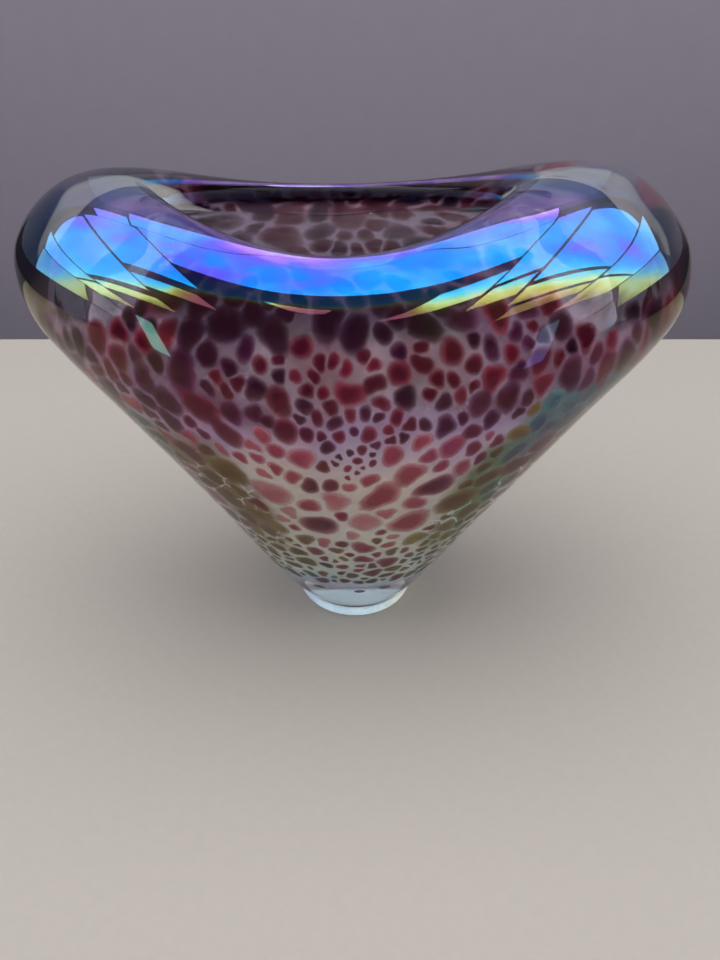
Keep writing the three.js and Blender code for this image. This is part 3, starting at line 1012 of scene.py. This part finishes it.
def plain_material(name, colour, roughness, grain):
    """A matt material with a fine fleck."""
    n = Nodes(name)
    fleck = n.noise(grain, 4.0, 0.6)
    darker = tuple(0.9 * value for value in colour)
    tint = n.mix_colour(fleck, darker, colour)
    body = n.add("ShaderNodeBsdfPrincipled", {"Base Color": tint, "Roughness": roughness})
    return n.finish(body.outputs[0])


def stage_sheet(name, corners, material):
    """A flat four-cornered part of the studio, which isn't part of the object."""
    sheet = new_object(name, np.array(corners) / MM, [(0, 1, 2, 3)], [material], smooth=False)


def make_stage():
    """The floor, the backdrop behind it and the two flags."""
    cloth = plain_material("pale_floor", linear(136, 130, 123), 0.85, 400.0)
    stage_sheet("floor", [
        (-FLOOR_SIZE, -FLOOR_SIZE, -FLOOR_DROP), (FLOOR_SIZE, -FLOOR_SIZE, -FLOOR_DROP),
        (FLOOR_SIZE, FLOOR_END, -FLOOR_DROP), (-FLOOR_SIZE, FLOOR_END, -FLOOR_DROP),
    ], cloth)
    wall_paint = plain_material("backdrop_paint", linear(116, 110, 122), 0.8, 60.0)
    stage_sheet("backdrop", [
        (-2, WALL_DISTANCE, -1), (2, WALL_DISTANCE, -1),
        (2, WALL_DISTANCE, 1.5), (-2, WALL_DISTANCE, 1.5),
    ], wall_paint)
    black = plain_material("flag_cloth", linear(40, 42, 48), 0.9, 60.0)
    for name, x in (("flag_left", -FLAG_DISTANCE), ("flag_right", FLAG_DISTANCE)):
        stage_sheet(name, [
            (x, -0.5, 0), (x, 0.5, 0), (x, 0.5, FLAG_HEIGHT), (x, -0.5, FLAG_HEIGHT),
        ], black)


def area_light(name, location, target, size, strength, colour=(1, 1, 1)):
    """A rectangular softbox of a given radiance, facing a point."""
    data = bpy.data.lights.new(name, "AREA")
    data.shape = "RECTANGLE"
    data.size, data.size_y = size
    data.energy = strength * size[0] * size[1] * math.pi
    data.color = colour
    lamp = bpy.data.objects.new(name, data)
    bpy.context.scene.collection.objects.link(lamp)
    lamp.location = location
    direction = Vector(target) - Vector(location)
    lamp.rotation_euler = direction.to_track_quat("-Z", "Y").to_euler()
    return lamp


# Panes of light that the glass mirrors, on a ceiling: left, right, front and back edges.
CEILING_HEIGHT = 0.85
PANES = {
    "pane_middle": (-0.14, 0.1, -0.24, 0.24),
    "pane_back": (-0.16, 0.1, 0.25, 0.6),
    "pane_back_left": (-0.38, -0.17, 0.21, 0.42),
    "pane_left_1": (-0.54, -0.15, -0.48, 0.2),
    "pane_left_2": (-1.62, -0.58, -0.84, 0.17),
    "pane_left_3": (-2.7, -1.68, -1.05, 0.34),
    "pane_right_1": (0.11, 0.3, -0.5, 0.26),
    "pane_right_2": (0.33, 1.22, -0.66, 0.17),
    "pane_right_3": (1.27, 2.7, -0.86, 0.4),
    "strip_left_1": (-0.56, -0.2, -0.76, -0.6),
    "strip_left_2": (-1.6, -0.6, -1.2, -0.98),
    "strip_left_3": (-2.7, -1.66, -1.9, -1.15),
    "strip_right_1": (-0.02, 0.1, -0.58, -0.36),
    "strip_right_2": (0.12, 0.3, -0.78, -0.55),
    "strip_right_3": (0.33, 1.2, -0.95, -0.72),
    "strip_right_4": (0.4, 1.2, -1.25, -1.02),
    "strip_right_5": (1.27, 2.7, -1.8, -0.94),
}
PANE_RADIANCE = 3.5
WALL_SHARE = 0.06        # radiance of the pane on the wall, as a share of a ceiling pane's
SIDE_SHARE = 0.6
STREAKS = (("streak_left", -0.66, 2.2), ("streak_right", 0.58, 0.8))  # name, x, share
STREAK_SIZE = (0.09, 0.34)
STREAK_BLUE = (0.2, 0.8, 1.8)
KEY_RADIANCE = 4.2
FILL_RADIANCE = 1.6
WORLD_COLOUR = (0.42, 0.40, 0.44, 1)
WORLD_STRENGTH = 0.42


def pane(name, location, target, size, share=1.0, colour=(1, 1, 1)):
    """A light seen only in the glass."""
    lamp = area_light(name, location, target, size, share * PANE_RADIANCE, colour)
    lamp.visible_diffuse = False


def make_lights():
    """Panes seen only in the glass, and a soft key and fill that light everything else."""
    for name, (left, right, front, back) in PANES.items():
        middle = ((left + right) / 2, (front + back) / 2)
        pane(name, (*middle, CEILING_HEIGHT), (*middle, 0), (right - left, back - front))
    pane("pane_wall", (0, 0.5, 0.5), (0, 0, 0.5), (0.5, 0.44), WALL_SHARE)
    for name, x in (("side_left", -2.75), ("side_right", 2.75)):
        pane(name, (x, -0.5, 0.5), (0, -0.5, 0.5), (1.8, 0.66), SIDE_SHARE)
    for name, x, share in STREAKS:
        pane(name, (x, -0.78, 0.12), (0, 0, 0.1), STREAK_SIZE, share, STREAK_BLUE)
    key = area_light("soft_key", (0, 0, 1.0), (0, 0, 0), (2.6, 1.2), KEY_RADIANCE, (0.97, 0.98, 1))
    fill = area_light("soft_fill", (0, -1.3, 0.7), (0, 0, 0.06), (1.8, 0.8), FILL_RADIANCE)
    for lamp in (key, fill):
        lamp.visible_glossy = False
        lamp.visible_transmission = False
    world = bpy.data.worlds.new("studio")
    world.use_nodes = True
    background = world.node_tree.nodes["Background"]
    background.inputs["Color"].default_value = WORLD_COLOUR
    background.inputs["Strength"].default_value = WORLD_STRENGTH
    bpy.context.scene.world = world


def make_camera():
    """The camera, close in front of the vase and looking down at it."""
    data = bpy.data.cameras.new("camera")
    data.lens = CAMERA_LENS
    data.sensor_width = 36
    data.shift_x = CAMERA_SHIFT
    data.clip_start = 0.005
    camera = bpy.data.objects.new("camera", data)
    bpy.context.scene.collection.objects.link(camera)
    camera.location = (0, -CAMERA_DISTANCE, CAMERA_HEIGHT)
    camera.rotation_euler = (math.radians(90 - CAMERA_PITCH), 0, 0)
    bpy.context.scene.camera = camera


make_camera()
make_stage()
make_lights()
make_glass_body()
make_veil(make_chips())
make_base_chips()

scene = bpy.context.scene
scene.view_settings.view_transform = "Standard"
scene.cycles.max_bounces = 24
scene.cycles.transmission_bounces = 20
scene.cycles.transparent_max_bounces = 32
